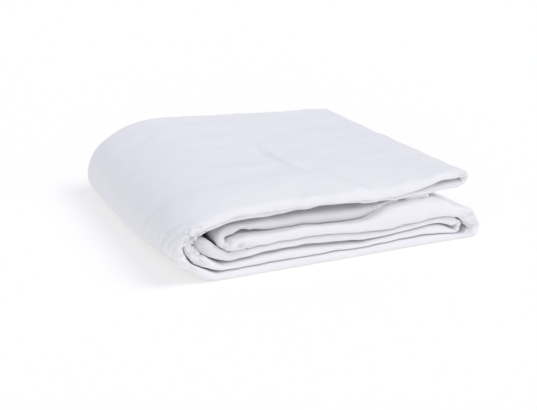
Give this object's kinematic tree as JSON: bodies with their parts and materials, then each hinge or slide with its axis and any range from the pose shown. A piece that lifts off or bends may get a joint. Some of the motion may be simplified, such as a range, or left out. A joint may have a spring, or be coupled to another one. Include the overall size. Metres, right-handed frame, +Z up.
{
  "type": "folded flat sheet",
  "caption": "Plain white cotton bed sheet, folded in half both ways to a soft, nearly square bundle that lies flat on a shelf or bed.",
  "frame": {"origin": "middle of the bundle's outline box, on the surface it lies on", "axes": "+X to the right along the front, where the folded edges of the layers show; +Y from the front to the back; +Z up"},
  "size_m": [0.3582, 0.335, 0.0847],
  "materials": {
    "cotton": "matt white plain-weave cotton with a faint sheen"
  },
  "bodies": {
    "root": {"folded_sheet": "cotton"}
  },
  "joints": []
}
